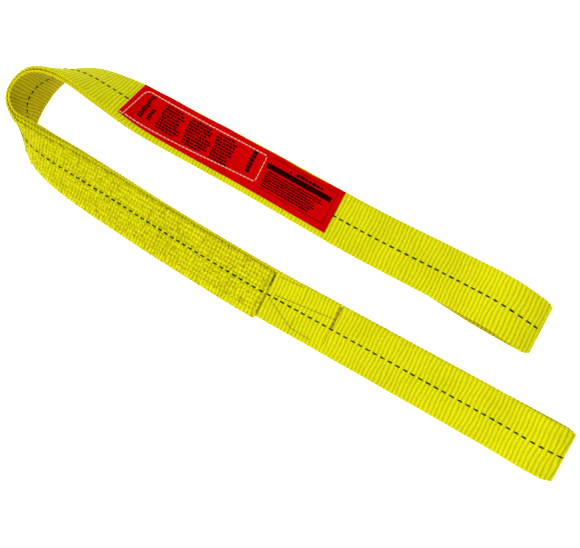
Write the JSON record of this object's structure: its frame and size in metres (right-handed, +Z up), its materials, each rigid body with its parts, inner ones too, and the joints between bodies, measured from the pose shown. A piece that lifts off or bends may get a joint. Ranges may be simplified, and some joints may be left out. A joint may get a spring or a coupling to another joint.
{
  "type": "round sling",
  "caption": "Endless flat web sling, folded in half, with a lapped sewn splice, a closed eye at the end of each leg and a sewn identification tag with a free end.",
  "frame": {"origin": "on the table, below the centre of the laid-out sling's box", "axes": "+X along both legs from the bend to the eyes, +Y from the spliced lower leg to the tagged upper leg, +Z up"},
  "size_m": [0.6779, 0.1606, 0.0515],
  "materials": {
    "web_yellow": "woven, ribbed",
    "thread_tan": "matte",
    "tracer_green": "matte",
    "tag_red": "semi-gloss vinyl",
    "print_black": "printed",
    "thread_cream": "matte"
  },
  "bodies": {
    "lower_leg": {"lower_ply_under": "web_yellow", "lower_ply_top": "web_yellow", "bend_inner_lower": "web_yellow", "splice_base_end": "web_yellow", "splice_lap": "web_yellow", "bend_outer_lower": "web_yellow", "splice_rows_flat": "thread_tan", "splice_rows_rolled": "thread_tan", "splice_end_tack": "thread_tan", "tracer_lower_leg": "tracer_green", "tracer_splice": "tracer_green", "tracer_bend_lower": "tracer_green"},
    "upper_leg": {"upper_ply_under": "web_yellow", "upper_ply_top": "web_yellow", "bend_inner_upper": "web_yellow", "bend_outer_upper": "web_yellow", "tag_panel": "tag_red", "tag_stitching": "thread_cream", "tag_panel_marks": "print_black", "tracer_upper_leg": "tracer_green", "tracer_bend_upper": "tracer_green"},
    "lower_eye": {"lower_eye_under": "web_yellow", "lower_eye_top": "web_yellow", "lower_eye_fold": "web_yellow", "tracer_lower_eye": "tracer_green"},
    "upper_eye": {"upper_eye_under": "web_yellow", "upper_eye_top": "web_yellow", "upper_eye_fold": "web_yellow", "tracer_upper_eye": "tracer_green"},
    "tag_free_end": {"tag_flap": "tag_red", "tag_flap_marks": "print_black"}
  },
  "joints": [
    {"name": "legs_open", "type": "hinge", "parent": "lower_leg", "child": "upper_leg", "pos_m": [-0.33934, 0.01195, 0.025], "axis": [0, 0, 1], "range_deg": [0, 35]},
    {"name": "lower_eye_lift", "type": "hinge", "parent": "lower_leg", "child": "lower_eye", "pos_m": [0.16886, -0.05232, 0.0086], "axis": [0, -1, 0], "range_deg": [0, 75]},
    {"name": "upper_eye_lift", "type": "hinge", "parent": "upper_leg", "child": "upper_eye", "pos_m": [0.12886, 0.04368, 0.0086], "axis": [0, -1, 0], "range_deg": [0, 75]},
    {"name": "tag_lift", "type": "hinge", "parent": "upper_leg", "child": "tag_free_end", "pos_m": [-0.04114, 0.0493, 0.0099], "axis": [-0.0395, -0.9992, 0], "range_deg": [0, 150]}
  ]
}
